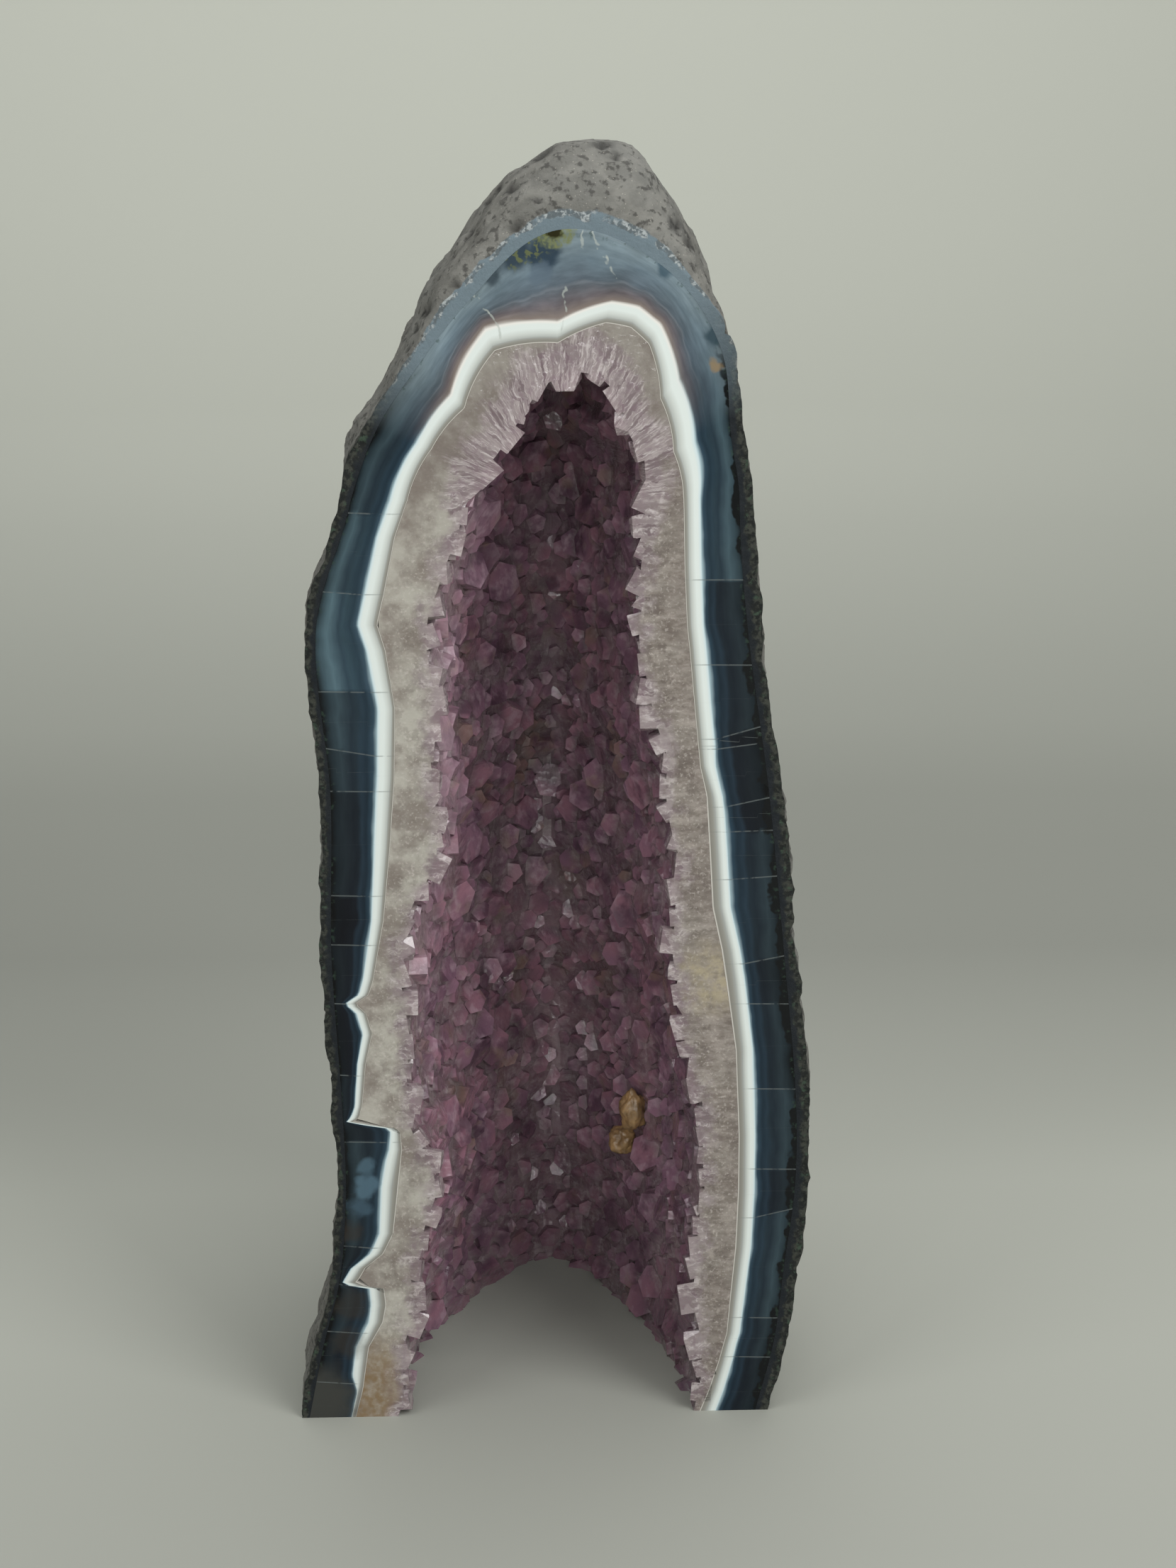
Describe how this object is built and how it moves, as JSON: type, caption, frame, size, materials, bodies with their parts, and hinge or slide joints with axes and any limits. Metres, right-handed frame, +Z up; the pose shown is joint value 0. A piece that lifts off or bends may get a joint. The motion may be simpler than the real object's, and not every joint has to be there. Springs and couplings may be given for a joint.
{
  "type": "amethyst cathedral geode",
  "caption": "Upright natural geode, sawn open in front and flat underneath: basalt rind, banded agate wall and a tall hollow lined with amethyst crystals.",
  "frame": {"origin": "centre of the whole part's box on the surface it stands on", "axes": "+Z up along the nodule, +Y from the sawn face to the back, +X to the right seen from the front"},
  "size_m": [0.1624, 0.1354, 0.4002],
  "materials": {
    "basalt": "rough vesicular basalt with green specks",
    "agate": "polished agate, blue-grey to near black, with a white band",
    "amethyst": "quartz, cloudy white at the wall and clear violet at the crystal faces"
  },
  "bodies": {
    "root": {"basalt_rind": "basalt", "agate_wall": "agate", "amethyst_crust": "amethyst"}
  },
  "joints": []
}
